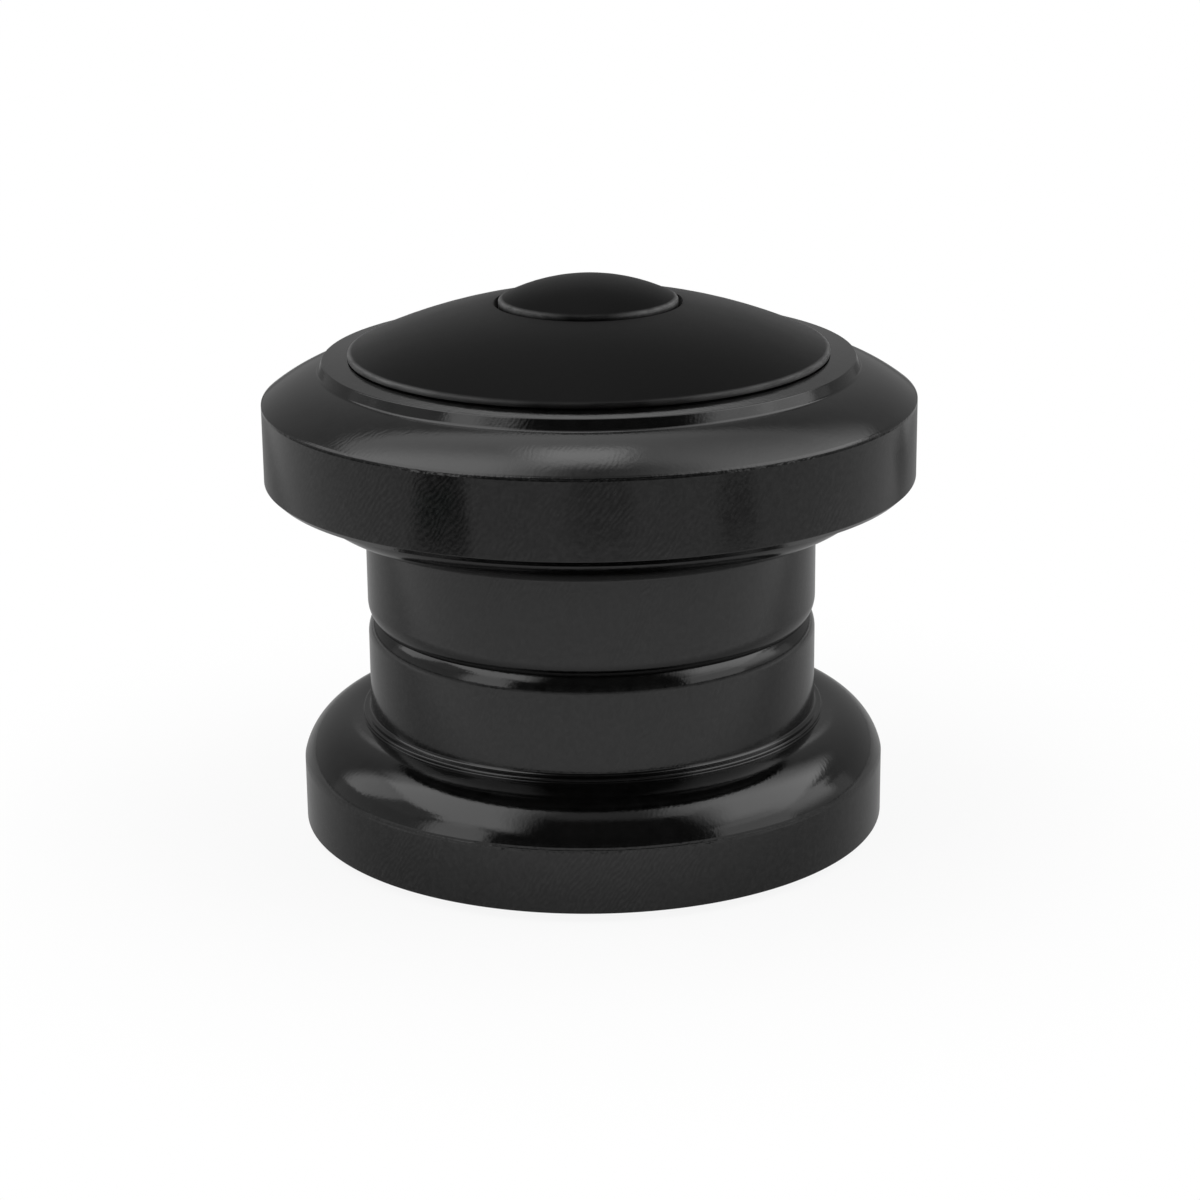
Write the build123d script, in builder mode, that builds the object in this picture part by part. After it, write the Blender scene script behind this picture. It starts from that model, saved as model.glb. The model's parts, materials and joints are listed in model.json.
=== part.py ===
from build123d import *
import os
from math import cos, radians, sin, sqrt, tan

# A threadless bicycle headset for a 34 mm head tube and a 28.6 mm steerer.
# Millimetres. The steering axis is Z, and the crown race stands on Z = 0.
# The cups stand mouth to mouth, and the upper bearing mirrors the lower about the plane where they meet.

# Standard interfaces
insert_diameter = 34.1
steerer_diameter = 28.6
steerer_wall = 1.6
crown_seat_step = 0.7
thread_diameter = 6.0

# Clearances between pieces
ball_clearance = 0.1
ball_pocket_clearance = 0.115
cage_clearance = 0.36
seal_clearance = 0.15
skirt_clearance = 0.4
roof_clearance = 0.4
ring_bore_clearance = 0.05
cone_bore_clearance = 0.35
cover_bore_clearance = 0.1
taper_clearance = 0.02
o_ring_clearance = 0.05
cap_rim_clearance = 0.1
cap_lip_clearance = 0.7
bolt_head_clearance = 0.3
bolt_hole_clearance = 0.2
plug_clearance = 0.35
peg_clearance = 0.03
peg_end_clearance = 0.7
thread_clearance = 0.05
washer_clearance = 0.05

# Bearings, the same above and below
ball_diameter = 3.969
ball_count = 20
contact_angle = 45.0
groove_span = 76.0
cage_thickness = 1.64

# Inner races
race_floor = 1.5
hub_wall = 1.13
plate_thickness = 0.85
plate_gap = 0.7
groove_flank = 1.0
seat_chamfer = 0.4
taper_angle = 30.0
taper_land = 0.5

# Cups, two of the same kind, with heights measured from the open rim
cup_standoff = 0.6
cup_rim_height = 4.85
cup_rim_wall = 1.25
cup_edge_radius = 0.15
flange_crest = 8.21
flange_radius = 4.4
shoulder_width = 0.6
shoulder_height = 0.31
shoulder_round = 0.2
insert_root_radius = 0.35
insert_length = 7.43
insert_wall = 1.45
lead_in_length = 1.35
lead_in_depth = 0.5

# Cup races and their seats
race_land = 0.48
race_back = 0.83
race_seat_corner = 1.2
race_seat_step = 0.25

# Bearing seals
seal_foot_height = 0.3
seal_foot_width = 0.4
seal_rise = 0.6
seal_lip_height = 0.3
seal_crown = 0.15

# Compression ring
ring_wall_at_tip = 0.42
ring_stands_proud = 0.4
ring_split = 2.0

# Upper cover
skirt_wall = 1.85
skirt_below_cup_edge = 0.63
skirt_chamfer_width = 0.5
skirt_chamfer_height = 0.46
skirt_inner_chamfer = 0.3
cover_corner_height = 0.45
cover_corner_radius = 0.12
cover_cone_width = 4.25
cover_cone_rise = 2.2
cover_cone_bulge = 0.23
cover_step_width = 0.35
cover_step_root = 0.3
cover_ring_height = 0.8
cover_ring_rise = 0.16
cover_ring_edge = 0.12
cover_recess_margin = 0.2

# Seal between the cover and the steerer
o_ring_section = 1.5
o_ring_squeeze = 0.05
o_ring_wall_below = 0.45

# Top cap
cap_ring_land = 1.9
cap_rim_wall = 0.28
cap_rim_radius = 0.2
cap_dome_radius = 42.0
cap_seat_inset = 1.2
cap_lip_length = 1.35
cap_lip_wall = 1.6
cap_shell = 2.2
cap_well_wall = 2.1
cap_well_floor = 2.0

# Plug
plug_recess_depth = 1.0
plug_seat_width = 1.4
plug_side_height = 1.25
plug_dome_height = 1.65
plug_edge_radius = 0.2

# Preload bolt
bolt_length = 30.0
bolt_head_diameter = 10.0
bolt_head_height = 4.0
bolt_head_chamfer = 0.4
bolt_tip_chamfer = 0.6
hex_across_flats = 5.0
hex_depth = 2.5

# Star nut
star_nut_drop = 11.5
star_nut_length = 14.0
barrel_wall = 2.15
barrel_neck_depth = 1.0
barrel_lip_width = 0.6
barrel_lip_height = 1.0
washer_thickness = 0.8
washer_flat_width = 1.3
washer_bite = 0.4
washer_prong_angle = 20.0
washer_prongs = 8
washer_notch_root = 1.4
washer_notch_width = 3.2

# Radii that follow from the sizes above, from the steerer outwards
steerer_r = steerer_diameter / 2
crown_seat_r = steerer_r + crown_seat_step
ball_r = ball_diameter / 2
groove_r = ball_r + ball_clearance
groove_start = contact_angle - groove_span / 2
groove_end = contact_angle + groove_span / 2
groove_reach = groove_r * cos(radians(groove_start))
pitch_r = crown_seat_r + hub_wall + groove_reach
race_seat_r = pitch_r + groove_reach + race_land
rim_bore_r = race_seat_r + race_seat_step
cup_r = rim_bore_r + cup_rim_wall
insert_r = insert_diameter / 2
insert_bore_r = insert_r - insert_wall
shoulder_r = insert_r + shoulder_width

# Heights that follow, from the crown upwards
rim_z = cup_standoff
ball_z = race_floor + groove_r
race_seat_z = ball_z + groove_r + race_back
cup_edge_z = rim_z + cup_rim_height
crest_z = rim_z + flange_crest
shoulder_z = crest_z + shoulder_height
mouth_z = shoulder_z + insert_length

# Sections are drawn as radius and height, the upper ones as height below twice the meeting plane's
meeting_plane = Plane.XY.offset(mouth_z)
lower_section = Plane.XZ
upper_section = Plane(origin=(0, 0, 2 * mouth_z), x_dir=(1, 0, 0), z_dir=(0, 1, 0))


def round_corners(section, points, radius):
    """Round the corners of a section that lie nearest to the given points."""
    corners = [section.vertices().sort_by_distance(point)[0] for point in points]
    fillet(corners, radius)


def bevel_corners(section, points, length):
    """Bevel the corners of a section that lie nearest to the given points."""
    corners = [section.vertices().sort_by_distance(point)[0] for point in points]
    chamfer(corners, length)


def groove_point(angle, inner=False):
    """Point of the cup race's ball groove, or of the inner race's straight across the ball."""
    side = -1 if inner else 1
    x = pitch_r + side * groove_r * cos(radians(angle))
    z = ball_z + side * groove_r * sin(radians(angle))
    return (x, z)


# Lower cup
flange_center_z = crest_z - flange_radius
flange_center_r = cup_r - sqrt(flange_radius**2 - (cup_edge_z - flange_center_z) ** 2)
shoulder_foot_z = flange_center_z + sqrt(flange_radius**2 - (shoulder_r - flange_center_r) ** 2)
lead_in_z = mouth_z - lead_in_length
mouth_r = insert_r - lead_in_depth
race_low = groove_point(groove_start)
race_inner = groove_point(groove_end)

with BuildPart() as lower_cup:
    with BuildSketch(lower_section) as cup_section:
        with BuildLine():
            Line((cup_r, rim_z), (cup_r, cup_edge_z))
            RadiusArc((cup_r, cup_edge_z), (shoulder_r, shoulder_foot_z), -flange_radius)
            Polyline(
                (shoulder_r, shoulder_foot_z),
                (shoulder_r, shoulder_z),
                (insert_r, shoulder_z),
                (insert_r, lead_in_z),
            )
            TangentArc((insert_r, lead_in_z), (mouth_r, mouth_z), tangent=(0, 1))
            Polyline(
                (mouth_r, mouth_z),
                (insert_bore_r, mouth_z),
                (insert_bore_r, race_seat_z),
                (race_seat_r, race_seat_z),
                (race_seat_r, race_low[1]),
                (rim_bore_r, race_low[1]),
                (rim_bore_r, rim_z),
                (cup_r, rim_z),
            )
        make_face()
        round_corners(cup_section, [(race_seat_r, race_seat_z)], race_seat_corner)
        round_corners(cup_section, [(insert_r, shoulder_z)], insert_root_radius)
        round_corners(cup_section, [(shoulder_r, shoulder_z)], shoulder_round)
        round_corners(cup_section, [(cup_r, rim_z), (rim_bore_r, rim_z)], cup_edge_radius)
    revolve(axis=Axis.Z)

# Upper cup, the same turned over
with BuildPart() as upper_cup:
    mirror(lower_cup.part, about=meeting_plane)

# Lower cup race, pressed into its seat in the cup
with BuildPart() as lower_cup_race:
    with BuildSketch(lower_section) as cup_race_section:
        with BuildLine():
            Polyline(
                race_inner,
                (race_inner[0], race_seat_z),
                (race_seat_r, race_seat_z),
                (race_seat_r, race_low[1]),
                race_low,
            )
            ThreePointArc(race_low, groove_point(contact_angle), race_inner)
        make_face()
        round_corners(cup_race_section, [(race_seat_r, race_seat_z)], race_seat_corner)
    revolve(axis=Axis.Z)

# Upper cup race
with BuildPart() as upper_cup_race:
    mirror(lower_cup_race.part, about=meeting_plane)

# Balls of both bearings
with BuildPart() as lower_balls:
    with Locations((0, 0, ball_z)):
        with PolarLocations(pitch_r, ball_count):
            Sphere(ball_r)

with BuildPart() as upper_balls:
    mirror(lower_balls.part, about=meeting_plane)

# Ball cages, a slanted band across the contact line whose pockets close round the balls
cage_drop = ball_z - plate_thickness - cage_clearance
cage_edge_drop = cage_thickness / 2 * cos(radians(contact_angle))
cage_width = 2 * (cage_drop - cage_edge_drop) / sin(radians(contact_angle))

with BuildPart() as lower_ball_cage:
    with BuildSketch(lower_section):
        with Locations((pitch_r, ball_z)):
            Rectangle(cage_width, cage_thickness, rotation=-contact_angle)
    revolve(axis=Axis.Z)
    with Locations((0, 0, ball_z)):
        with PolarLocations(pitch_r, ball_count):
            Sphere(ball_r + ball_pocket_clearance, mode=Mode.SUBTRACT)

with BuildPart() as upper_ball_cage:
    mirror(lower_ball_cage.part, about=meeting_plane)

# Inner races: the crown race below and the cone above share plate, groove and hub
hub_top = groove_point(groove_start, inner=True)
plate_groove = groove_point(groove_end, inner=True)
plate_r = rim_bore_r - plate_gap
flank_r = plate_groove[0] + groove_flank


def inner_race_outline():
    """Plate edge, ball groove and hub of an inner race, from its base to its hub."""
    Polyline(
        (plate_r, 0),
        (plate_r, plate_thickness),
        (flank_r, plate_thickness),
        plate_groove,
    )
    ThreePointArc(plate_groove, groove_point(contact_angle, inner=True), hub_top)


with BuildPart() as crown_race:
    with BuildSketch(lower_section) as crown_race_section:
        with BuildLine():
            inner_race_outline()
            Polyline(hub_top, (crown_seat_r, hub_top[1]), (crown_seat_r, 0), (plate_r, 0))
        make_face()
        bevel_corners(crown_race_section, [(crown_seat_r, 0)], seat_chamfer)
    revolve(axis=Axis.Z)

cone_bore_r = steerer_r + cone_bore_clearance
taper_slope = tan(radians(taper_angle))
taper_tip_z = hub_top[1] - taper_land
taper_mouth_r = cone_bore_r + taper_tip_z * taper_slope

with BuildPart() as upper_cone:
    with BuildSketch(upper_section):
        with BuildLine():
            inner_race_outline()
            Polyline(
                hub_top,
                (cone_bore_r, hub_top[1]),
                (cone_bore_r, taper_tip_z),
                (taper_mouth_r, 0),
                (plate_r, 0),
            )
        make_face()
    revolve(axis=Axis.Z)

# Bearing seals, a lip on each inner race's edge that closes the gap to the cup
seal_lip_r = rim_bore_r - seal_clearance
seal_lip_bottom = seal_foot_height + seal_rise
seal_lip_top = seal_lip_bottom + seal_lip_height

with BuildPart() as crown_race_seal:
    with BuildSketch(lower_section):
        with BuildLine():
            Polyline(
                (plate_r, seal_foot_height),
                (plate_r + seal_foot_width, seal_foot_height),
                (seal_lip_r, seal_lip_bottom),
                (seal_lip_r, seal_lip_top),
                (plate_r + seal_foot_width / 2, seal_lip_top + seal_crown),
                (plate_r, plate_thickness),
                close=True,
            )
        make_face()
    revolve(axis=Axis.Z)

with BuildPart() as upper_bearing_seal:
    mirror(crown_race_seal.part, about=meeting_plane)

# Compression ring, wedged between the cone and the steerer
ring_bore_r = steerer_r + ring_bore_clearance
ring_tip_r = ring_bore_r + ring_wall_at_tip
ring_mouth_r = taper_mouth_r - taper_clearance
ring_tip_z = (ring_mouth_r - ring_tip_r) / taper_slope
ring_top_z = 2 * mouth_z + ring_stands_proud
ring_wall = ring_mouth_r - ring_bore_r

with BuildPart() as compression_ring:
    with BuildSketch(upper_section):
        with BuildLine():
            Polyline(
                (ring_bore_r, ring_tip_z),
                (ring_tip_r, ring_tip_z),
                (ring_mouth_r, 0),
                (ring_mouth_r, -ring_stands_proud),
                (ring_bore_r, -ring_stands_proud),
                close=True,
            )
        make_face()
    revolve(axis=Axis.Z)
    with BuildSketch(Plane.XY.offset(ring_top_z)):
        with Locations((0, ring_mouth_r)):
            Rectangle(ring_split, 2 * ring_wall + ring_split)
    extrude(amount=-(ring_tip_z + ring_stands_proud), mode=Mode.SUBTRACT)

# Upper cover
skirt_inner_r = cup_r + skirt_clearance
cover_r = skirt_inner_r + skirt_wall
cone_top_r = cover_r - cover_cone_width
cover_ring_r = cone_top_r - cover_step_width
cap_r = cover_ring_r - cap_ring_land
cover_bore_r = steerer_r + cover_bore_clearance
recess_r = rim_bore_r + cover_recess_margin
roof_z = 2 * mouth_z - rim_z + roof_clearance
skirt_bottom_z = 2 * mouth_z - cup_edge_z - skirt_below_cup_edge
cover_corner_z = roof_z + cover_corner_height
cone_top_z = cover_corner_z + cover_cone_rise
cover_ring_z = cone_top_z + cover_ring_height
cover_top_z = cover_ring_z + cover_ring_rise
o_ring_r = steerer_r + o_ring_section / 2 - o_ring_squeeze
o_ring_groove_r = o_ring_r + o_ring_section / 2 + o_ring_clearance
o_ring_groove_low = ring_top_z + o_ring_wall_below
o_ring_z = o_ring_groove_low + o_ring_clearance + o_ring_section / 2
o_ring_groove_high = o_ring_z + o_ring_section / 2 + o_ring_clearance

with BuildPart() as upper_cover:
    with BuildSketch(lower_section) as cover_section:
        with BuildLine():
            Polyline(
                (skirt_inner_r, skirt_bottom_z),
                (cover_r - skirt_chamfer_width, skirt_bottom_z),
                (cover_r, skirt_bottom_z + skirt_chamfer_height),
                (cover_r, cover_corner_z),
            )
            SagittaArc((cover_r, cover_corner_z), (cone_top_r, cone_top_z), -cover_cone_bulge)
            Polyline(
                (cone_top_r, cone_top_z),
                (cover_ring_r, cover_ring_z),
                (cap_r, cover_top_z),
                (cover_bore_r, cover_top_z),
                (cover_bore_r, o_ring_groove_high),
                (o_ring_groove_r, o_ring_groove_high),
                (o_ring_groove_r, o_ring_groove_low),
                (cover_bore_r, o_ring_groove_low),
                (cover_bore_r, ring_top_z),
                (recess_r, ring_top_z),
                (recess_r, roof_z),
                (skirt_inner_r, roof_z),
                (skirt_inner_r, skirt_bottom_z),
            )
        make_face()
        round_corners(cover_section, [(cone_top_r, cone_top_z)], cover_step_root)
        round_corners(cover_section, [(cover_ring_r, cover_ring_z)], cover_ring_edge)
        round_corners(cover_section, [(cover_r, cover_corner_z)], cover_corner_radius)
        bevel_corners(cover_section, [(skirt_inner_r, skirt_bottom_z)], skirt_inner_chamfer)
    revolve(axis=Axis.Z)

# Seal between the cover and the steerer
with BuildPart() as cover_o_ring:
    with Locations((0, 0, o_ring_z)):
        Torus(o_ring_r, o_ring_section / 2)

# Top cap, a domed shell with a well for the bolt
cap_seat_r = cap_r - cap_seat_inset
cap_rim_z = cover_top_z + cap_rim_clearance
dome_center_z = cap_rim_z + cap_rim_wall - sqrt(cap_dome_radius**2 - cap_r**2)
thread_r = thread_diameter / 2
bolt_head_r = bolt_head_diameter / 2
bolt_hole_r = thread_r + bolt_hole_clearance
well_r = bolt_head_r + bolt_head_clearance
well_outer_r = well_r + cap_well_wall
plug_r = well_r + plug_seat_width
plug_recess_r = plug_r + plug_clearance
cap_lip_r = cover_bore_r - cap_lip_clearance
cap_lip_inner_r = cap_lip_r - cap_lip_wall
cap_lip_z = cover_top_z - cap_lip_length


def dome_point(radius, depth=0.0):
    """Point of the cap's dome at a radius, or of the shell's inside at a depth below it."""
    return (radius, dome_center_z + sqrt((cap_dome_radius - depth) ** 2 - radius**2))


plug_seat_z = dome_point(plug_recess_r)[1] - plug_recess_depth
bolt_top_z = plug_seat_z - bolt_head_clearance
bolt_seat_z = bolt_top_z - bolt_head_height
well_bottom_z = bolt_seat_z - cap_well_floor

with BuildPart() as top_cap:
    with BuildSketch(lower_section) as cap_section:
        with BuildLine():
            ThreePointArc(
                dome_point(plug_recess_r),
                dome_point((plug_recess_r + cap_r) / 2),
                dome_point(cap_r),
            )
            Polyline(
                dome_point(cap_r),
                (cap_r, cap_rim_z),
                (cap_seat_r, cap_rim_z),
                (cap_seat_r, cover_top_z),
                (cap_lip_r, cover_top_z),
                (cap_lip_r, cap_lip_z),
                (cap_lip_inner_r, cap_lip_z),
                dome_point(cap_lip_inner_r, cap_shell),
            )
            ThreePointArc(
                dome_point(cap_lip_inner_r, cap_shell),
                dome_point((cap_lip_inner_r + well_outer_r) / 2, cap_shell),
                dome_point(well_outer_r, cap_shell),
            )
            Polyline(
                dome_point(well_outer_r, cap_shell),
                (well_outer_r, well_bottom_z),
                (bolt_hole_r, well_bottom_z),
                (bolt_hole_r, bolt_seat_z),
                (well_r, bolt_seat_z),
                (well_r, plug_seat_z),
                (plug_recess_r, plug_seat_z),
                dome_point(plug_recess_r),
            )
        make_face()
        round_corners(cap_section, [dome_point(cap_r)], cap_rim_radius)
    revolve(axis=Axis.Z)

# Plug, a lens on a hexagonal peg that presses into the bolt's socket
plug_rim_z = plug_seat_z + plug_side_height
plug_apex_z = plug_rim_z + plug_dome_height
peg_end_z = bolt_top_z - hex_depth + peg_end_clearance

with BuildPart() as bolt_plug:
    with BuildSketch(lower_section) as plug_section:
        with BuildLine():
            Polyline((0, plug_apex_z), (0, plug_seat_z), (plug_r, plug_seat_z), (plug_r, plug_rim_z))
            TangentArc((0, plug_apex_z), (plug_r, plug_rim_z), tangent=(1, 0))
        make_face()
        round_corners(plug_section, [(plug_r, plug_rim_z)], plug_edge_radius)
    revolve(axis=Axis.Z)
    with BuildSketch(Plane.XY.offset(plug_seat_z)):
        RegularPolygon(hex_across_flats / 2 - peg_clearance, 6, major_radius=False)
    extrude(amount=peg_end_z - plug_seat_z)

# Preload bolt
bolt_tip_z = bolt_seat_z - bolt_length

with BuildPart() as cap_bolt:
    with BuildSketch(lower_section) as bolt_section:
        with BuildLine():
            Polyline(
                (0, bolt_tip_z),
                (thread_r, bolt_tip_z),
                (thread_r, bolt_seat_z),
                (bolt_head_r, bolt_seat_z),
                (bolt_head_r, bolt_top_z),
                (0, bolt_top_z),
                close=True,
            )
        make_face()
        bevel_corners(bolt_section, [(thread_r, bolt_tip_z)], bolt_tip_chamfer)
        bevel_corners(bolt_section, [(bolt_head_r, bolt_top_z)], bolt_head_chamfer)
    revolve(axis=Axis.Z)
    with BuildSketch(Plane.XY.offset(bolt_top_z)):
        RegularPolygon(hex_across_flats / 2, 6, major_radius=False)
    extrude(amount=-hex_depth, mode=Mode.SUBTRACT)

# Star nut: a threaded barrel with a spring washer held in a neck at each end
barrel_bore_r = thread_r + thread_clearance
barrel_r = barrel_bore_r + barrel_wall
barrel_neck_r = barrel_r - barrel_neck_depth
barrel_lip_r = barrel_neck_r + barrel_lip_width
barrel_top_z = bolt_seat_z - star_nut_drop
barrel_bottom_z = barrel_top_z - star_nut_length
upper_washer_z = barrel_top_z - barrel_lip_height - washer_thickness
lower_washer_z = barrel_bottom_z + barrel_lip_height

with BuildPart() as star_nut_barrel:
    with BuildSketch(lower_section):
        with BuildLine():
            Polyline(
                (barrel_bore_r, barrel_bottom_z),
                (barrel_lip_r, barrel_bottom_z),
                (barrel_lip_r, lower_washer_z),
                (barrel_neck_r, lower_washer_z),
                (barrel_neck_r, lower_washer_z + washer_thickness),
                (barrel_r, lower_washer_z + washer_thickness),
                (barrel_r, upper_washer_z),
                (barrel_neck_r, upper_washer_z),
                (barrel_neck_r, upper_washer_z + washer_thickness),
                (barrel_lip_r, upper_washer_z + washer_thickness),
                (barrel_lip_r, barrel_top_z),
                (barrel_bore_r, barrel_top_z),
                close=True,
            )
        make_face()
    revolve(axis=Axis.Z)

# Spring washers, whose prongs grip the steerer's bore
washer_hole_r = barrel_neck_r + washer_clearance
washer_flat_r = barrel_r + washer_flat_width
washer_r = steerer_r - steerer_wall + washer_bite
prong_rise = (washer_r - washer_flat_r) * tan(radians(washer_prong_angle))
notch_length = washer_r - washer_flat_r - washer_notch_root + washer_notch_width
notch_center_r = washer_flat_r + washer_notch_root + notch_length / 2

with BuildPart() as star_washer_lower:
    with BuildSketch(lower_section):
        with BuildLine():
            Polyline(
                (washer_hole_r, lower_washer_z),
                (washer_flat_r, lower_washer_z),
                (washer_r, lower_washer_z + prong_rise),
                (washer_r, lower_washer_z + prong_rise + washer_thickness),
                (washer_flat_r, lower_washer_z + washer_thickness),
                (washer_hole_r, lower_washer_z + washer_thickness),
                close=True,
            )
        make_face()
    revolve(axis=Axis.Z)
    with BuildSketch(Plane.XY.offset(lower_washer_z)):
        with PolarLocations(notch_center_r, washer_prongs):
            SlotOverall(notch_length, washer_notch_width)
    extrude(amount=prong_rise + washer_thickness, mode=Mode.SUBTRACT)

with BuildPart() as star_washer_upper:
    with Locations((0, 0, upper_washer_z - lower_washer_z)):
        add(star_washer_lower.part)

# Each piece is written to its own file
os.makedirs("parts", exist_ok=True)
pieces = {
    "bolt_plug": bolt_plug,
    "top_cap": top_cap,
    "cap_bolt": cap_bolt,
    "star_nut_barrel": star_nut_barrel,
    "star_washer_upper": star_washer_upper,
    "star_washer_lower": star_washer_lower,
    "upper_cover": upper_cover,
    "cover_o_ring": cover_o_ring,
    "compression_ring": compression_ring,
    "upper_cone": upper_cone,
    "upper_bearing_seal": upper_bearing_seal,
    "upper_ball_cage": upper_ball_cage,
    "upper_balls": upper_balls,
    "upper_cup_race": upper_cup_race,
    "upper_cup": upper_cup,
    "lower_cup": lower_cup,
    "lower_cup_race": lower_cup_race,
    "lower_ball_cage": lower_ball_cage,
    "lower_balls": lower_balls,
    "crown_race": crown_race,
    "crown_race_seal": crown_race_seal,
}
for name, piece in pieces.items():
    piece.part.label = name
    export_step(piece.part, f"parts/{name}.step")
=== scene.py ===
"""A bicycle headset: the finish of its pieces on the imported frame. Metres, +Z up the steering axis."""
import json
from collections import namedtuple
from math import atan2, ceil, cos, pi, radians, sin, sqrt, tan

import bpy
from mathutils import Matrix, Vector


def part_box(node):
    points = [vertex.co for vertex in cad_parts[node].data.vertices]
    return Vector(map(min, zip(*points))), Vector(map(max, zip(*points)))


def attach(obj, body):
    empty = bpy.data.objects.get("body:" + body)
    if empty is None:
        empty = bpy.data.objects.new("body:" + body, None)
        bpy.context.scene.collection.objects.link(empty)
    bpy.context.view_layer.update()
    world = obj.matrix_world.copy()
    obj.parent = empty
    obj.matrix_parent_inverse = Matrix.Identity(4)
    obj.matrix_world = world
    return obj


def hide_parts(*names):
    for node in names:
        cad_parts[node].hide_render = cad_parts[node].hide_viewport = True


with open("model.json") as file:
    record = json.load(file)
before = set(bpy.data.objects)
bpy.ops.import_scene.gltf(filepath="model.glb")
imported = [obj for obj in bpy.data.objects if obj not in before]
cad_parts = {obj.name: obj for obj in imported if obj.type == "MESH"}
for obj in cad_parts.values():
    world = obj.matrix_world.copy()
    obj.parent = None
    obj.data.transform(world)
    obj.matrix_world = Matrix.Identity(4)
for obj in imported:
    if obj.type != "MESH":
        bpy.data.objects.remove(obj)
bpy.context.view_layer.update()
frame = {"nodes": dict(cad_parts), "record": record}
nodes = frame["nodes"]
MM = 0.001


# Sizes in millimetres, from the frame
def reach(node):
    """Largest radius of a turned node."""
    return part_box(node)[1].x / MM


def bottom(node):
    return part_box(node)[0].z / MM


def top(node):
    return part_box(node)[1].z / MM


mounts = {mount["name"]: mount for mount in frame["record"]["mounts"]}
insert_r = mounts["lower_cup_insert"]["dims"]["r_mm"]
cup_r = reach("lower_cup")
rim_z = bottom("lower_cup")
mouth_z = top("lower_cup")
race_seat_r = reach("lower_cup_race")
race_seat_z = top("lower_cup_race")
race_edge_z = bottom("lower_cup_race")
cover_r = reach("upper_cover")
cover_top_z = top("upper_cover")
cap_r = reach("top_cap")
plug_r = reach("bolt_plug")
plug_top_z = top("bolt_plug")
skirt_bottom_z = bottom("upper_cover")
o_ring_low = bottom("cover_o_ring")
o_ring_high = top("cover_o_ring")
ring_top_z = top("compression_ring")
bolt_head_r = reach("cap_bolt")
bolt_tip_z = bottom("cap_bolt")
bolt_top_z = top("cap_bolt")

# Sizes in millimetres that the turned sections add
steerer_r = 14.3
edge_round = 0.07

cup_rim_height = 4.85
cup_edge_round = 0.15
flange_crest = 8.21
flange_radius = 4.4
shoulder_width = 0.6
shoulder_height = 0.31
shoulder_round = 0.2
insert_root_round = 0.35
insert_wall = 1.45
lead_in_length = 1.35
lead_in_depth = 0.5
race_seat_round = 1.2
race_seat_step = 0.25

skirt_wall = 1.85
skirt_chamfer_width = 0.5
skirt_chamfer_height = 0.46
skirt_inner_chamfer = 0.3
cover_corner_round = 0.12
cover_cone_width = 4.25
cover_cone_rise = 2.2
cover_cone_bulge = 0.23
cover_step_width = 0.35
cover_step_root_round = 0.3
cover_ring_height = 0.8
cover_ring_rise = 0.16
cover_ring_round = 0.12
cover_bore_clearance = 0.1
cover_recess_margin = 0.2
cover_roof_above_rim = 0.4
o_ring_clearance = 0.05
o_ring_groove_r = 15.8

cap_rim_height = 0.38
plug_dome_height = 1.65

thread_r = 2.97
thread_pitch = 1.0
thread_depth = 0.55
bolt_head_height = 4.0
bolt_head_chamfer = 0.4
bolt_tip_chamfer = 0.6
hex_across_flats = 5.0
hex_depth = 2.5

cap_rim_z = cover_top_z + cap_rim_height
plug_rim_z = plug_top_z - plug_dome_height

# Fineness of the meshes
TURNED_SEGMENTS = 256
ARC_STEP = radians(1.5)
ROUND_STEPS = 6
LARGEST_CUT = 0.45
SAME_POINT = 1e-6
BOLT_SEGMENTS = 48
BOLT_SHARP_ANGLE = radians(35)
THREAD_STEPS_PER_TURN = 10
THREAD_STEEPNESS = 1.3

# The camera, from the photograph's perspective
camera_target = Vector((0.646, 0, 17.084)) * MM
camera_distance = 236.09 * MM
camera_elevation = radians(17.482)
camera_roll = radians(-0.594)
camera_lens = 92.565
camera_sensor = 36.0
camera_nearest = 0.01
camera_farthest = 10.0


def add_object(name, data):
    """A new object in the scene, of a mesh or a camera."""
    added = bpy.data.objects.new(name, data)
    bpy.context.scene.collection.objects.link(added)
    return added


# Turned sections: corners of radius and height, each with its own rounding,
# and the centre of the arc to the next corner where that side is an arc
Corner = namedtuple("Corner", "r z round centre", defaults=(edge_round, None))


def arc_centre(start, end, bulge):
    """Centre of the arc from start to end that bulges to the right of that direction."""
    chord = Vector(end) - Vector(start)
    radius = (chord.length**2 / 4 + bulge**2) / (2 * bulge)
    right = Vector((chord.y, -chord.x)).normalized()
    return (Vector(start) + Vector(end)) / 2 + right * (bulge - radius)


class Side:
    """A straight or round side of a section, from corner a to corner b."""

    def __init__(self, a, b):
        self.start = Vector((a.r, a.z))
        self.end = Vector((b.r, b.z))
        self.centre = Vector(a.centre) if a.centre else None
        if self.centre:
            first = self.start - self.centre
            last = self.end - self.centre
            self.radius = first.length
            self.angle = atan2(first.y, first.x)
            self.turn = (atan2(last.y, last.x) - self.angle + pi) % (2 * pi) - pi
            self.length = self.radius * abs(self.turn)
            self.steps = max(2, ceil(abs(self.turn) / ARC_STEP))
        else:
            self.length = (self.end - self.start).length
            self.steps = 1

    def point(self, along):
        if self.centre is None:
            return self.start.lerp(self.end, along)
        angle = self.angle + self.turn * along
        return self.centre + self.radius * Vector((cos(angle), sin(angle)))

    def direction(self, along):
        if self.centre is None:
            return (self.end - self.start).normalized()
        angle = self.angle + self.turn * along
        sign = 1 if self.turn > 0 else -1
        return sign * Vector((-sin(angle), cos(angle)))


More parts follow.
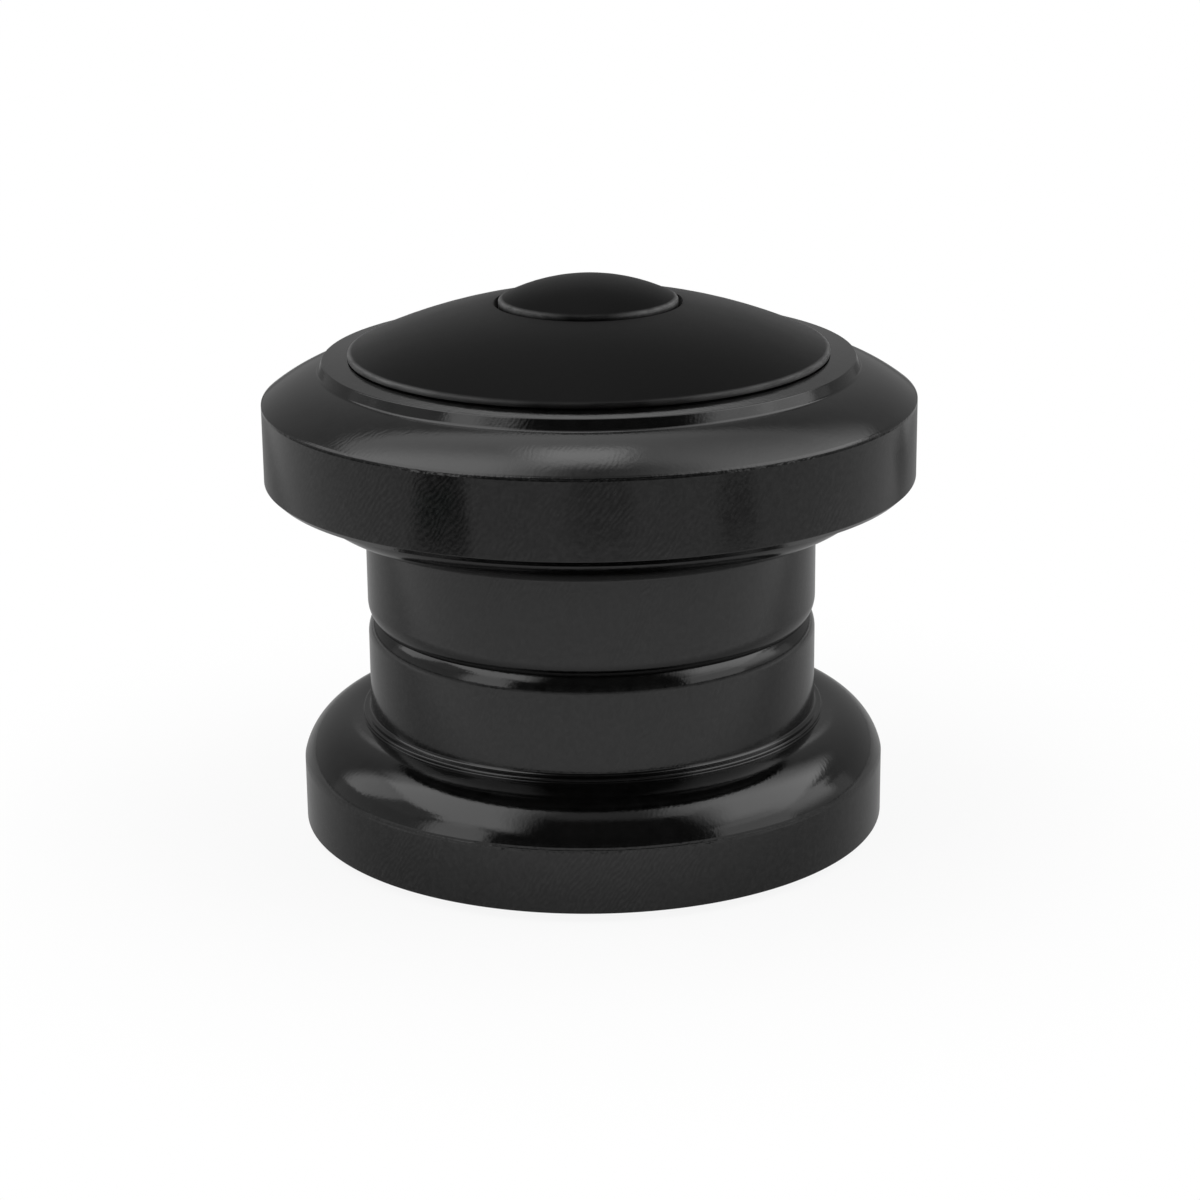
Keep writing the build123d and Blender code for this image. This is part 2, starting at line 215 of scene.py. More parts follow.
def rounded_corner(start, end, start_way, end_way):
    """Points and directions of a circular round between two sides."""
    turn = start_way.angle(end_way)
    reach_in = (end - start).length / (2 * cos(turn / 2))
    corner = start + start_way * reach_in
    weight = cos(turn / 2)
    for step in range(1, ROUND_STEPS):
        t = step / ROUND_STEPS
        a = (1 - t) ** 2
        b = 2 * weight * t * (1 - t)
        c = t**2
        point = (a * start + b * corner + c * end) / (a + b + c)
        way = start_way.slerp(end_way, t)
        yield point, way


def outline(corners):
    """Points and outward normals round a section, with its counterclockwise corners rounded."""
    count = len(corners)
    sides = [Side(corner, corners[(i + 1) % count]) for i, corner in enumerate(corners)]
    cuts = []
    for i, after in enumerate(sides):
        before = sides[i - 1]
        turn = before.direction(1).angle(after.direction(0))
        longest = min(before.length, after.length) * LARGEST_CUT
        cuts.append(min(corners[i].round * tan(turn / 2), longest))
    points = []
    for i, side in enumerate(sides):
        following = sides[(i + 1) % count]
        next_cut = cuts[(i + 1) % count]
        first = cuts[i] / side.length
        last = 1 - next_cut / side.length
        for step in range(side.steps + 1):
            along = first + (last - first) * step / side.steps
            points.append((side.point(along), side.direction(along)))
        if next_cut > 0:
            onward = next_cut / following.length
            points += rounded_corner(
                side.point(last),
                following.point(onward),
                side.direction(last),
                following.direction(onward),
            )
    return [(point, Vector((way.y, -way.x))) for point, way in points]


def turned(name, corners, mirror_z=None):
    """A smooth turned piece with the exact normals of its section, or its mirror about a height."""
    profile = outline(corners)
    if mirror_z is not None:
        profile = [
            (Vector((p.x, 2 * mirror_z - p.y)), Vector((n.x, -n.y))) for p, n in reversed(profile)
        ]
    profile = [
        row for i, row in enumerate(profile) if (row[0] - profile[i - 1][0]).length > SAME_POINT
    ]
    count = len(profile)
    vertices = []
    normals = []
    for point, normal in profile:
        for j in range(TURNED_SEGMENTS):
            angle = 2 * pi * j / TURNED_SEGMENTS
            across = Vector((cos(angle), sin(angle), 0))
            vertices.append(across * point.x * MM + Vector((0, 0, point.y * MM)))
            normals.append(across * normal.x + Vector((0, 0, normal.y)))
    faces = []
    for i in range(count):
        low = i * TURNED_SEGMENTS
        high = (i + 1) % count * TURNED_SEGMENTS
        for j in range(TURNED_SEGMENTS):
            k = (j + 1) % TURNED_SEGMENTS
            faces.append((low + j, low + k, high + k, high + j))
    mesh = bpy.data.meshes.new(name)
    mesh.from_pydata(vertices, [], faces)
    mesh.shade_smooth()
    mesh.normals_split_custom_set_from_vertices(normals)
    return add_object(name, mesh)


# Cups
cup_edge_z = rim_z + cup_rim_height
crest_z = rim_z + flange_crest
shoulder_z = crest_z + shoulder_height
shoulder_r = insert_r + shoulder_width
flange_centre_z = crest_z - flange_radius
flange_centre_r = cup_r - sqrt(flange_radius**2 - (cup_edge_z - flange_centre_z) ** 2)
shoulder_foot_z = flange_centre_z + sqrt(flange_radius**2 - (shoulder_r - flange_centre_r) ** 2)
insert_bore_r = insert_r - insert_wall
lead_in_z = mouth_z - lead_in_length
lead_in_radius = (lead_in_length**2 + lead_in_depth**2) / (2 * lead_in_depth)
rim_bore_r = race_seat_r + race_seat_step

cup_corners = [
    Corner(cup_r, rim_z, cup_edge_round),
    Corner(cup_r, cup_edge_z, centre=(flange_centre_r, flange_centre_z)),
    Corner(shoulder_r, shoulder_foot_z),
    Corner(shoulder_r, shoulder_z, shoulder_round),
    Corner(insert_r, shoulder_z, insert_root_round),
    Corner(insert_r, lead_in_z, centre=(insert_r - lead_in_radius, lead_in_z)),
    Corner(insert_r - lead_in_depth, mouth_z),
    Corner(insert_bore_r, mouth_z),
    Corner(insert_bore_r, race_seat_z),
    Corner(race_seat_r, race_seat_z, race_seat_round),
    Corner(race_seat_r, race_edge_z),
    Corner(rim_bore_r, race_edge_z),
    Corner(rim_bore_r, rim_z, cup_edge_round),
]

# Upper cover
skirt_inner_r = cover_r - skirt_wall
cone_top_r = cover_r - cover_cone_width
cover_ring_r = cone_top_r - cover_step_width
cover_ring_z = cover_top_z - cover_ring_rise
cone_top_z = cover_ring_z - cover_ring_height
cover_corner_z = cone_top_z - cover_cone_rise
cover_bore_r = steerer_r + cover_bore_clearance
recess_r = rim_bore_r + cover_recess_margin
roof_z = 2 * mouth_z - rim_z + cover_roof_above_rim
cone_centre = arc_centre((cover_r, cover_corner_z), (cone_top_r, cone_top_z), cover_cone_bulge)

cover_corners = [
    Corner(skirt_inner_r + skirt_inner_chamfer, skirt_bottom_z),
    Corner(cover_r - skirt_chamfer_width, skirt_bottom_z),
    Corner(cover_r, skirt_bottom_z + skirt_chamfer_height),
    Corner(cover_r, cover_corner_z, cover_corner_round, cone_centre),
    Corner(cone_top_r, cone_top_z, cover_step_root_round),
    Corner(cover_ring_r, cover_ring_z, cover_ring_round),
    Corner(cap_r, cover_top_z),
    Corner(cover_bore_r, cover_top_z),
    Corner(cover_bore_r, o_ring_high + o_ring_clearance),
    Corner(o_ring_groove_r, o_ring_high + o_ring_clearance),
    Corner(o_ring_groove_r, o_ring_low - o_ring_clearance),
    Corner(cover_bore_r, o_ring_low - o_ring_clearance),
    Corner(cover_bore_r, ring_top_z),
    Corner(recess_r, ring_top_z),
    Corner(recess_r, roof_z),
    Corner(skirt_inner_r, roof_z),
    Corner(skirt_inner_r, skirt_bottom_z + skirt_inner_chamfer),
]


# Preload bolt, with its thread and its socket
def bolt_mesh(name):
    """Rings from the bolt's tip up its thread to the floor of its hexagonal socket."""
    turns = [2 * pi * j / BOLT_SEGMENTS for j in range(BOLT_SEGMENTS)]
    seat_z = bolt_top_z - bolt_head_height
    thread_end = seat_z - thread_pitch
    steps = ceil((thread_end - bolt_tip_z) / thread_pitch * THREAD_STEPS_PER_TURN)

    def circle(r, z):
        return [(r, z)] * BOLT_SEGMENTS

    def thread(z):
        limit = thread_r - bolt_tip_chamfer + (z - bolt_tip_z)
        ring = []
        for turn in turns:
            phase = (z / thread_pitch - turn / (2 * pi)) % 1
            ridge = min(1.0, THREAD_STEEPNESS * (1 - abs(2 * phase - 1)))
            ring.append((min(thread_r - thread_depth * (1 - ridge), limit), z))
        return ring

    def hexagon(z):
        sixth = pi / 3
        across = hex_across_flats / 2
        return [(across / cos((turn + sixth / 2) % sixth - sixth / 2), z) for turn in turns]

    rings = [circle(thread_r - bolt_tip_chamfer, bolt_tip_z)]
    rings += [thread(bolt_tip_z + (thread_end - bolt_tip_z) * i / steps) for i in range(steps + 1)]
    rings += [
        circle(thread_r, thread_end + thread_pitch / 4),
        circle(thread_r, seat_z),
        circle(bolt_head_r, seat_z),
        circle(bolt_head_r, bolt_top_z - bolt_head_chamfer),
        circle(bolt_head_r - bolt_head_chamfer, bolt_top_z),
        hexagon(bolt_top_z),
        hexagon(bolt_top_z - hex_depth),
    ]
    vertices = [
        (r * cos(turn) * MM, r * sin(turn) * MM, z * MM)
        for ring in rings
        for turn, (r, z) in zip(turns, ring)
    ]
    faces = []
    for i in range(len(rings) - 1):
        for j in range(BOLT_SEGMENTS):
            k = (j + 1) % BOLT_SEGMENTS
            low = i * BOLT_SEGMENTS
            high = low + BOLT_SEGMENTS
            faces.append((low + j, low + k, high + k, high + j))
    faces.append(tuple(reversed(range(BOLT_SEGMENTS))))
    last = (len(rings) - 1) * BOLT_SEGMENTS
    faces.append(tuple(range(last, last + BOLT_SEGMENTS)))
    mesh = bpy.data.meshes.new(name)
    mesh.from_pydata(vertices, [], faces)
    mesh.shade_smooth()
    mesh.set_sharp_from_angle(angle=BOLT_SHARP_ANGLE)
    return mesh


# Node trees
def grey(tone):
    return (tone, tone, tone, 1)


class Graph:
    """A node tree, written as calls that give sockets."""

    def __init__(self, owner):
        owner.use_nodes = True
        self.tree = owner.node_tree

    def put(self, value, socket):
        """A value or another node's socket, given to an input."""
        if isinstance(value, bpy.types.NodeSocket):
            self.tree.links.new(value, socket)
        else:
            socket.default_value = value

    def add(self, kind, inputs=None, **settings):
        node = self.tree.nodes.new(kind)
        for key, value in settings.items():
            setattr(node, key, value)
        for key, value in (inputs or {}).items():
            self.put(value, node.inputs[key])
        return node

    def math(self, operation, a, b=0.0):
        return self.add("ShaderNodeMath", {0: a, 1: b}, operation=operation).outputs[0]

    def stretch(self, value, spread, to=(0.0, 1.0), interpolation="LINEAR"):
        """A value's spread from low to high, stretched to another one and held at its ends."""
        inputs = {
            "Value": value,
            "From Min": spread[0],
            "From Max": spread[1],
            "To Min": to[0],
            "To Max": to[1],
        }
        node = self.add("ShaderNodeMapRange", inputs, interpolation_type=interpolation)
        return node.outputs["Result"]

    def object_place(self):
        return self.add("ShaderNodeTexCoord").outputs["Object"]

    def axes(self, vector):
        return self.add("ShaderNodeSeparateXYZ", {0: vector}).outputs

    def mix(self, share, first, second):
        """Shader between two shaders by share."""
        return self.add("ShaderNodeMixShader", {"Fac": share, 1: first, 2: second}).outputs[0]

    def surface(self, shader):
        """A shader in place of the one that a new material has."""
        self.tree.nodes.remove(self.tree.nodes["Principled BSDF"])
        self.put(shader, self.tree.nodes["Material Output"].inputs["Surface"])


class Finish(Graph):
    """The nodes of a piece's material, round the shader that it has."""

    def __init__(self, name, **shine):
        self.material = bpy.data.materials.new(name)
        super().__init__(self.material)
        self.shader = self.tree.nodes["Principled BSDF"]
        for socket, value in shine.items():
            self.put(value, self.shader.inputs[socket.replace("_", " ")])
        self.place = self.object_place()

    def noise(self, size, place=None, detail=4.0, roughness=0.6):
        """Noise from 0 to 1 with features of about that size in millimetres."""
        inputs = {
            "Vector": place or self.place,
            "Scale": 1 / (size * MM),
            "Detail": detail,
            "Roughness": roughness,
        }
        return self.add("ShaderNodeTexNoise", inputs).outputs["Fac"]

    def radius(self):
        """Distance from the steering axis."""
        axes = self.axes(self.place)
        flat = self.add("ShaderNodeCombineXYZ", {0: axes["X"], 1: axes["Y"]}).outputs[0]
        return self.add("ShaderNodeVectorMath", {0: flat}, operation="LENGTH").outputs["Value"]

    def from_ring(self, r, z):
        """Distance from a ring round the steering axis, of radius and height in millimetres."""
        height = self.axes(self.place)["Z"]
        section = self.add("ShaderNodeCombineXYZ", {0: self.radius(), 1: height}).outputs[0]
        inputs = {0: section, 1: (r * MM, z * MM, 0)}
        return self.add("ShaderNodeVectorMath", inputs, operation="DISTANCE").outputs["Value"]

    def round_place(self, unroll_r, upward=1.0):
        """Place unrolled at a radius in millimetres: turn, height and radius, the last two scaled."""
        axes = self.axes(self.place)
        turn = self.math("ARCTAN2", axes["Y"], axes["X"])
        inputs = {
            0: self.math("MULTIPLY", turn, unroll_r * MM),
            1: self.math("MULTIPLY", axes["Z"], upward),
            2: self.math("MULTIPLY", self.radius(), upward),
        }
        return self.add("ShaderNodeCombineXYZ", inputs).outputs[0]

    def blend(self, share, first, second):
        """Colour between two colours by share."""
        inputs = {"Factor": share, "A": first, "B": second}
        return self.add("ShaderNodeMix", inputs, data_type="RGBA").outputs["Result"]

    def color(self, socket):
        self.put(socket, self.shader.inputs["Base Color"])

    def rough(self, socket):
        self.put(socket, self.shader.inputs["Roughness"])

    def bump(self, height, depth):
        """Relief of that depth in millimetres."""
        node = self.add("ShaderNodeBump", {"Height": height, "Distance": depth * MM})
        self.put(node.outputs["Normal"], self.shader.inputs["Normal"])


# Finishes: sizes in millimetres, tones linear, and pairs for a range
noise_range = (0.3, 0.7)

anodised_tones = (0.0003, 0.003)
anodised_rough = (0.08, 0.14)
anodised_relief = 0.0009
mottle_size = 1.1
grain_size = 0.3
grain_range = (0.35, 0.65)
grain_relief = 7.0
drag_pitch = 0.4
drag_radius = 22.0
drag_slant = 0.7
drag_waver = 1.6
drag_waver_size = 1.6
drag_patch_size = 6.0
drag_patch_range = (0.42, 0.64)
wall_slope = (0.1, 0.4)
wall_tone = 0.03
wall_drag_share = 0.14
wall_grain_share = 0.3
nick_size = 0.4
nick_near = 0.06
nick_far = 0.22
nick_relief = 50.0

plastic_contrast = 0.15
plastic_rough = (-0.04, 0.05)
plastic_relief = 0.0025
plastic_cloud_size = 4.0
plastic_grain_size = 0.12
plastic_noise_range = (0.6, 1.4)
plastic_sheen_rough = 0.32
# Painted highlight on a plastic rim: its patches, its tone, its reach from the rim, and the sides where
# it is strongest
rim_patch_size = 0.5
rim_patch_radius = 3.0
rim_highlight_tone = 0.2
rim_highlight_near = 0.1
rim_highlight_far = 0.4
lit_side_width = (0.2, 0.8)
lit_side_share = (0.1, 1.0)

metal_mark_size = 0.09
metal_cloud_size = 1.8
metal_relief = 0.002

rubber_dark = (0.012, 0.012, 0.012, 1)
rubber_light = (0.024, 0.023, 0.023, 1)
rubber_rough = (0.55, 0.7)
rubber_relief = 0.004
rubber_bloom_size = 0.9
rubber_grain_size = 0.1


def anodised():
    """Polished black anodising over turned alloy: mottled, with fine drag lines and nicked edges."""
    finish = Finish("black_anodised", IOR=1.5)
    mottle = finish.noise(mottle_size, detail=6.0, roughness=0.7)
    grain = finish.noise(grain_size, detail=3.0)

    # Slanted lines that waver, in patches
    unrolled = finish.round_place(drag_radius, drag_slant)
    wander = finish.noise(drag_waver_size, unrolled, detail=2.0)
    waver = finish.math("MULTIPLY", wander, drag_waver * MM)
    across = finish.axes(unrolled)
    ramp = finish.math("ADD", finish.math("SUBTRACT", across["X"], across["Y"]), waver)
    lines = finish.math("SINE", finish.math("MULTIPLY", ramp, 2 * pi / (drag_pitch * MM)))
    patches = finish.stretch(finish.noise(drag_patch_size, detail=2.0), drag_patch_range)
    drag = finish.math("MULTIPLY", lines, patches)

    # Walls show the lines and the grain as a lighter tone
    dark, light = anodised_tones
    tone = finish.blend(finish.stretch(mottle, noise_range), grey(dark), grey(light))
    wall_drag = finish.math("MULTIPLY", drag, wall_drag_share)
    wall_grain = finish.stretch(grain, grain_range, (0.0, wall_grain_share))
    normal = finish.add("ShaderNodeNewGeometry").outputs["Normal"]
    slope = finish.math("ABSOLUTE", finish.axes(normal)["Z"])
    on_wall = finish.stretch(slope, wall_slope, (1.0, 0.0))
    worn = finish.math("MULTIPLY", finish.math("ADD", wall_drag, wall_grain), on_wall)
    finish.color(finish.blend(worn, tone, grey(wall_tone)))
    finish.rough(finish.stretch(mottle, noise_range, anodised_rough))

    # Uneven grooves along the cover's corner and the lower flange's edge
    cover_edge = finish.from_ring(cover_r, cover_corner_z)
    cup_edge = finish.from_ring(cup_r, cup_edge_z)
    to_edge = finish.math("MINIMUM", cover_edge, cup_edge)
    on_edge = finish.stretch(to_edge, (nick_near * MM, nick_far * MM), (1.0, 0.0))
    nicks = finish.math("MULTIPLY", finish.noise(nick_size, detail=3.0), on_edge)
    polish = finish.math("ADD", finish.math("MULTIPLY", grain, grain_relief), drag)
    relief = finish.math("SUBTRACT", polish, finish.math("MULTIPLY", nicks, nick_relief))
    finish.bump(relief, anodised_relief)
    return finish.material


def moulded(name, tone, rough, shine, bloom=0.0, rim=None):
    """Black moulded plastic with a fine grain, from matt to satin by its shine.

    Its bloom is a faint dusty sheen, and its rim, where it has one, carries a painted highlight, lighter
    at the sides and in patches.
    """
    finish = Finish(
        name,
        IOR=1.46,
        Specular_IOR_Level=shine,
        Sheen_Weight=bloom,
        Sheen_Roughness=plastic_sheen_rough,
    )
    cloud = finish.noise(plastic_cloud_size, detail=3.0)
    grain = finish.noise(plastic_grain_size, detail=3.0, roughness=0.7)
    dark = grey(tone * (1 - plastic_contrast))
    light = grey(tone * (1 + plastic_contrast))
    color = finish.blend(cloud, dark, light)
    # Painted highlight: the colour near the rim turns lighter, most at the left and right sides, in
    # patches
    if rim:
        rim_patches = finish.noise(rim_patch_size, finish.round_place(rim_patch_radius))
        sideways = finish.math("ABSOLUTE", finish.axes(finish.place)["X"])
        lit_side_reach = [width * rim[0] * MM for width in lit_side_width]
        lit_sides = finish.stretch(sideways, lit_side_reach, lit_side_share)
        highlight_reach = (rim_highlight_near * MM, rim_highlight_far * MM)
        near_rim = finish.stretch(finish.from_ring(*rim), highlight_reach, (1.0, 0.0))
        painted_highlight = finish.math("MULTIPLY", finish.math("MULTIPLY", near_rim, rim_patches), lit_sides)
        color = finish.blend(painted_highlight, color, grey(rim_highlight_tone))
    finish.color(color)
    smoothest, roughest = plastic_rough
    uneven = finish.math("ADD", cloud, grain)
    finish.rough(finish.stretch(uneven, plastic_noise_range, (rough + smoothest, rough + roughest)))
    finish.bump(grain, plastic_relief)
    return finish.material


def metal(name, light, dark, rough, unroll_r):
    """Bare or plated metal with marks round the axis, the longer the smaller the unrolling radius."""
    finish = Finish(name, Metallic=1.0)
    marks = finish.noise(metal_mark_size, finish.round_place(unroll_r))
    cloud = finish.noise(metal_cloud_size)
    tone = finish.math("MULTIPLY", finish.math("ADD", marks, cloud), 0.5)
    finish.color(finish.blend(finish.stretch(tone, noise_range), (*dark, 1), (*light, 1)))
    finish.rough(finish.stretch(marks, noise_range, rough))
    finish.bump(marks, metal_relief)
    return finish.material


def rubber():
    """Matt black rubber with a dusty bloom."""
    finish = Finish("seal_rubber", IOR=1.5)
    bloom = finish.noise(rubber_bloom_size, detail=5.0)
    grain = finish.noise(rubber_grain_size, detail=2.0)
    finish.color(finish.blend(bloom, rubber_dark, rubber_light))
    finish.rough(finish.stretch(bloom, noise_range, rubber_rough))
    finish.bump(grain, rubber_relief)
    return finish.material


satin = {"tone": 0.001, "rough": 0.4, "shine": 0.05}
materials = {
    "black_anodised": anodised(),
    # The cap's and the plug's rims carry a painted highlight
    "cap_plastic": moulded("cap_plastic", **satin, bloom=0.15, rim=(cap_r, cap_rim_z)),
    "plug_plastic": moulded("plug_plastic", **satin, bloom=0.075, rim=(plug_r, plug_rim_z)),
    "bolt_steel": metal("bolt_steel", (0.62, 0.62, 0.6), (0.46, 0.46, 0.46), (0.22, 0.36), 4.0),
    "nut_steel": metal("nut_steel", (0.6, 0.57, 0.48), (0.46, 0.44, 0.38), (0.25, 0.4), 4.0),
    "spring_steel": metal("spring_steel", (0.2, 0.2, 0.22), (0.11, 0.11, 0.13), (0.3, 0.45), 10.0),
    "seal_rubber": rubber(),
    "ring_alloy": metal("ring_alloy", (0.8, 0.8, 0.82), (0.66, 0.66, 0.68), (0.2, 0.32), 2.0),
    "race_steel": metal("race_steel", (0.62, 0.62, 0.63), (0.5, 0.5, 0.5), (0.16, 0.28), 2.0),
    "cage_nylon": moulded("cage_nylon", tone=0.03, rough=0.5, shine=0.5),
    "ball_steel": metal("ball_steel", (0.82, 0.82, 0.84), (0.76, 0.76, 0.78), (0.05, 0.09), 50.0),
}


def give(piece, slot_name):
    """A new piece's material and the record's slot that it stands for."""
    piece.data.materials.append(materials[slot_name])


for part in frame["record"]["subparts"]:
    for place in nodes[part["node"]].material_slots:
        place.material = materials[part["material_slot"]]

lower_cup = turned("lower_cup_turned", cup_corners)
upper_cup = turned("upper_cup_turned", cup_corners, mirror_z=mouth_z)
upper_cover = turned("upper_cover_turned", cover_corners)
cap_bolt = add_object("cap_bolt_threaded", bolt_mesh("cap_bolt_threaded"))

give(lower_cup, "black_anodised")
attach(lower_cup, "cups")
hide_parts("lower_cup")

give(upper_cup, "black_anodised")
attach(upper_cup, "cups")
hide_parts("upper_cup")

give(upper_cover, "black_anodised")
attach(upper_cover, "cover")
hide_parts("upper_cover")

give(cap_bolt, "bolt_steel")
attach(cap_bolt, "cover")
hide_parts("cap_bolt")


# Studio, in millimetres
def square(name, half):
    """A flat square of that half side round the origin."""
    corners = [(-half, -half, 0), (half, -half, 0), (half, half, 0), (-half, half, 0)]
    mesh = bpy.data.meshes.new(name)
    mesh.from_pydata(corners, [], [(0, 1, 2, 3)])
    return add_object(name, mesh)


def softbox(name, centre, across, along, radiance, soft=None):
    """A sheet of light, seen in reflections only, from its centre and two half sides.

    Where it is soft, its light fades out over a share of each half side: left, right, near and far.
    """
    sheet = square(name, 1)
    across = Vector(across) * MM
    along = Vector(along) * MM
    axes = Matrix((across, along, across.cross(along).normalized())).transposed()
    sheet.matrix_world = Matrix.Translation(Vector(centre) * MM) @ axes.to_4x4()
    sheet.visible_camera = False
    sheet.visible_shadow = False

    material = bpy.data.materials.new(name)
    sheet.data.materials.append(material)
    graph = Graph(material)
    light = graph.add("ShaderNodeEmission", {"Strength": radiance}).outputs[0]
    if soft:
        place = graph.axes(graph.object_place())
        share = 1.0
        for axis, edge, depth in zip("XXYY", (-1, 1, -1, 1), soft):
            fade = graph.stretch(place[axis], (edge, edge * (1 - depth)), interpolation="SMOOTHSTEP")
            share = graph.math("MULTIPLY", share, fade)
        clear = graph.add("ShaderNodeBsdfTransparent").outputs[0]
        light = graph.mix(share, clear, light)
    graph.surface(light)


# Lights over the object
softbox("left_softbox", (-460, -260, 500), (280, -141, 0), (256, 508, 0), 2.3, (0.2, 0.6, 0.7, 0.25))
softbox("left_front_softbox", (-880, -640, 501), (260, -50, 0), (40, 230, 0), 1.7, (0.3, 0.35, 0.4, 0.4))
softbox("left_rear_softbox", (-1130, 430, 501), (640, -290, 0), (115, 255, 0), 1.6, (0.5, 0.2, 0.4, 0.6))
softbox("left_boom", (-950, -120, 495), (310, 0, 0), (0, 190, 0), 0.5, (0.2, 0.2, 0.25, 0.4))
softbox("right_softbox", (786, -204, 502), (310, 324, 0), (-612, 587, 0), 2.6, (0.6, 0.3, 1.2, 0.48))
softbox("top_softbox", (-20, 120, 498), (85, 0, 0), (0, 110, 0), 2.8, (0.8, 0.5, 0.9, 0.8))
softbox("rear_softbox", (0, 210, 504), (470, 0, 0), (0, 210, 0), 1.15, (0.2, 1.2, 0.5, 0.4))
softbox("front_strip", (30, -150, 506), (170, 0, 0), (0, 180, 0), 0.42, (0.3, 0.2, 0.7, 0.3))
softbox("front_strip_right", (225, -150, 505), (80, 0, 0), (0, 120, 0), 0.95, (0.4, 0.4, 0.5, 0.4))
softbox("right_outer_softbox", (1250, 100, 503), (350, 0, 0), (0, 400, 0), 1.8, (0.3, 0.2, 0.4, 0.4))
softbox("left_canopy", (-1000, -100, 520), (450, 0, 0), (0, 350, 0), 0.5, (0.3, 0.3, 0.3, 0.3))
softbox("rear_canopy", (0, 700, 560), (1600, 0, 0), (0, 350, 0), 0.28)

# Sides of the room
softbox("left_flat", (-1150, -800, 340), (228, -328, 0), (0, 0, 340), 1.7, (0.5, 0.3, 0.01, 0.3))
softbox("right_flat", (1250, -600, 325), (250, 400, 0), (0, 0, 325), 1.3, (0.3, 0.1, 0.01, 0.1))
softbox("right_panel", (1600, 50, 350), (0, 550, 0), (0, 0, 290), 1.65, (0.2, 0.3, 1.5, 0.01))
softbox("back_glow", (0, 890, 490), (260, 0, 0), (0, 0, 110), 0.68, (0.4, 0.4, 0.4, 0.4))
softbox("left_wall", (-1610, -50, 320), (0, 1250, 0), (0, 0, 320), 0.43)
softbox("right_wall", (1610, -50, 320), (0, 1250, 0), (0, 0, 320), 0.5)
softbox("camera_wall", (0, -1300, 320), (1700, 0, 0), (0, 0, 320), 0.05)
softbox("back_wall", (0, 900, 320), (1650, 0, 0), (0, 0, 320), 0.27)
softbox("canopy", (0, 0, 640), (1700, 0, 0), (0, 1400, 0), 0.06)

# Dim sheets on the floor, seen only in reflections: painted shade patches in the floor's pool of light
softbox("floor_shade_patch_left", (-105, -92, 0.2), (13, -20, 0), (24, 21, 0), 0.09, (0.6, 0.12, 0.2, 0.2))
softbox("floor_shade_patch_front", (8, -138, 0.2), (32, 0, 0), (0, 22, 0), 0.3, (0.6, 0.6, 0.5, 0.5))
softbox("floor_shade_patch_rear", (98, 78, 0.2), (18, 0, 0), (0, 18, 0), 0.2, (0.6, 0.6, 0.6, 0.6))
softbox("floor_shade_patch_right", (95, -90, 0.2), (14, 14, 0), (-14, 14, 0), 0.22, (0.6, 0.6, 0.6, 0.6))

# Floor and backdrop: each fade has two radii, the values at them, and the place it is measured from
Fade = namedtuple("Fade", "start end inside outside centre", defaults=((0, 0, 0),))
floor_half = 3000
floor_drop = 0.02
floor_tone = 0.75
floor_shadow = Fade(26, 60, 0.9, 1.0)
# Painted pool of light on the floor, seen only in reflections: the first two fades paint its light, the
# last two paint shade behind and right round the object
pool_near = Fade(92, 112, 0.76, 0.5)
pool_far = Fade(150, 320, 1.0, 0.3)
pool_shade = Fade(85, 108, 0.5, 1.0, centre=(0, 70, 0))
pool_contact_shade = Fade(24, 48, 0.88, 1.0)
fill_level = 0.3
backdrop_level = 1.0


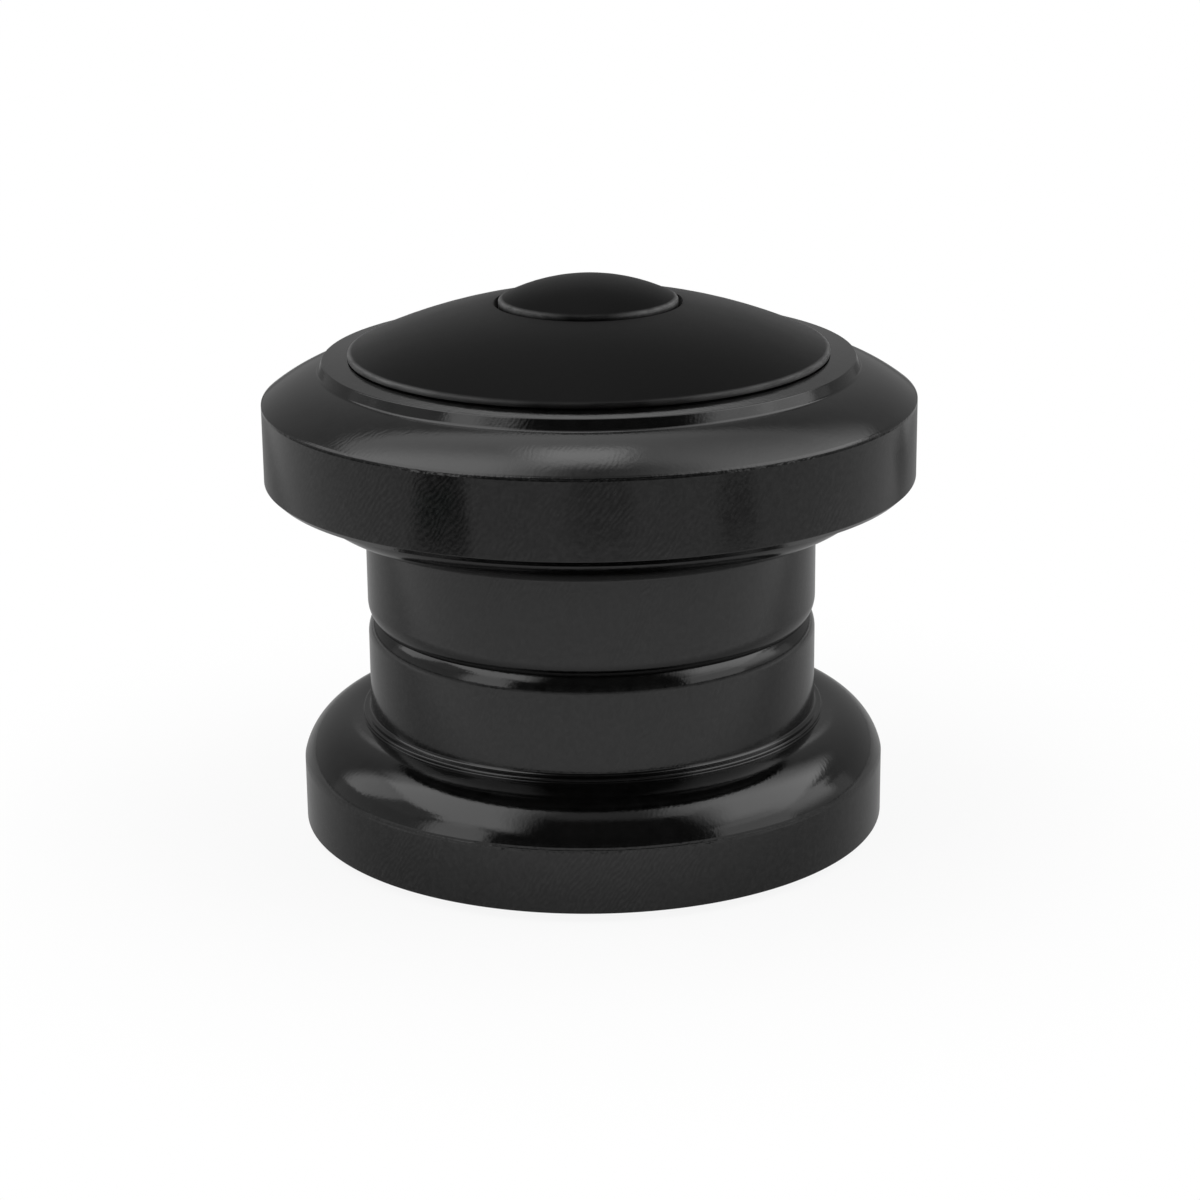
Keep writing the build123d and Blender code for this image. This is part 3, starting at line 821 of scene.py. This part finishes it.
def floor():
    """A pale floor that is white in the picture, keeps a faint shadow and is clear from below.

    Reflections see a painted pool of light on it, with painted shadow behind and right round the object.
    """
    sheet = square("floor", floor_half * MM)
    sheet.location.z = -floor_drop * MM

    material = bpy.data.materials.new("floor")
    sheet.data.materials.append(material)
    graph = Graph(material)
    place = graph.object_place()

    def faded(fade):
        """A value that changes with the distance from a place on the floor."""
        inputs = {0: place, 1: Vector(fade.centre) * MM}
        away = graph.add("ShaderNodeVectorMath", inputs, operation="DISTANCE").outputs["Value"]
        radii = (fade.start * MM, fade.end * MM)
        return graph.stretch(away, radii, (fade.inside, fade.outside), "SMOOTHSTEP")

    light = graph.add("ShaderNodeLightPath").outputs
    plain = graph.add("ShaderNodeBsdfDiffuse", {"Color": grey(floor_tone)}).outputs[0]
    white = graph.add("ShaderNodeEmission").outputs[0]
    clear = graph.add("ShaderNodeBsdfTransparent").outputs[0]
    # Painted light and shadow of the pool, an emission that only reflections see
    pool_light = graph.math("MULTIPLY", faded(pool_near), faded(pool_far))
    pool_shadow = graph.math("MULTIPLY", faded(pool_shade), faded(pool_contact_shade))
    strength = graph.math("MULTIPLY", pool_light, pool_shadow)
    pool = graph.add("ShaderNodeEmission", {"Strength": strength}).outputs[0]

    shadow = graph.mix(faded(floor_shadow), plain, white)
    seen = graph.mix(light["Is Camera Ray"], plain, shadow)
    mirrored = graph.math("MAXIMUM", light["Is Glossy Ray"], light["Is Transmission Ray"])
    from_above = graph.mix(mirrored, seen, pool)
    from_below = graph.add("ShaderNodeNewGeometry").outputs["Backfacing"]
    graph.surface(graph.mix(from_below, from_above, clear))


def backdrop():
    """A world that is white in the picture and in reflections, and a plain fill light elsewhere."""
    world = bpy.data.worlds.new("backdrop")
    bpy.context.scene.world = world
    graph = Graph(world)
    light = graph.add("ShaderNodeLightPath").outputs
    mirrored = graph.math("MAXIMUM", light["Is Glossy Ray"], light["Is Transmission Ray"])
    seen = graph.math("MAXIMUM", light["Is Camera Ray"], mirrored)
    background = graph.tree.nodes["Background"].inputs
    background["Color"].default_value = grey(1.0)
    level = graph.stretch(seen, (0.0, 1.0), (fill_level, backdrop_level))
    graph.put(level, background["Strength"])


floor()
backdrop()

# Camera
camera = add_object("camera", bpy.data.cameras.new("camera"))
camera.data.lens = camera_lens
camera.data.sensor_width = camera_sensor
camera.data.clip_start = camera_nearest
camera.data.clip_end = camera_farthest
back = Vector((0, -cos(camera_elevation), sin(camera_elevation)))
camera.location = camera_target + back * camera_distance
aim = (-back).to_track_quat("-Z", "Y").to_matrix() @ Matrix.Rotation(camera_roll, 3, "Z")
camera.rotation_euler = aim.to_euler()
bpy.context.scene.camera = camera
bpy.context.scene.view_settings.view_transform = "Standard"
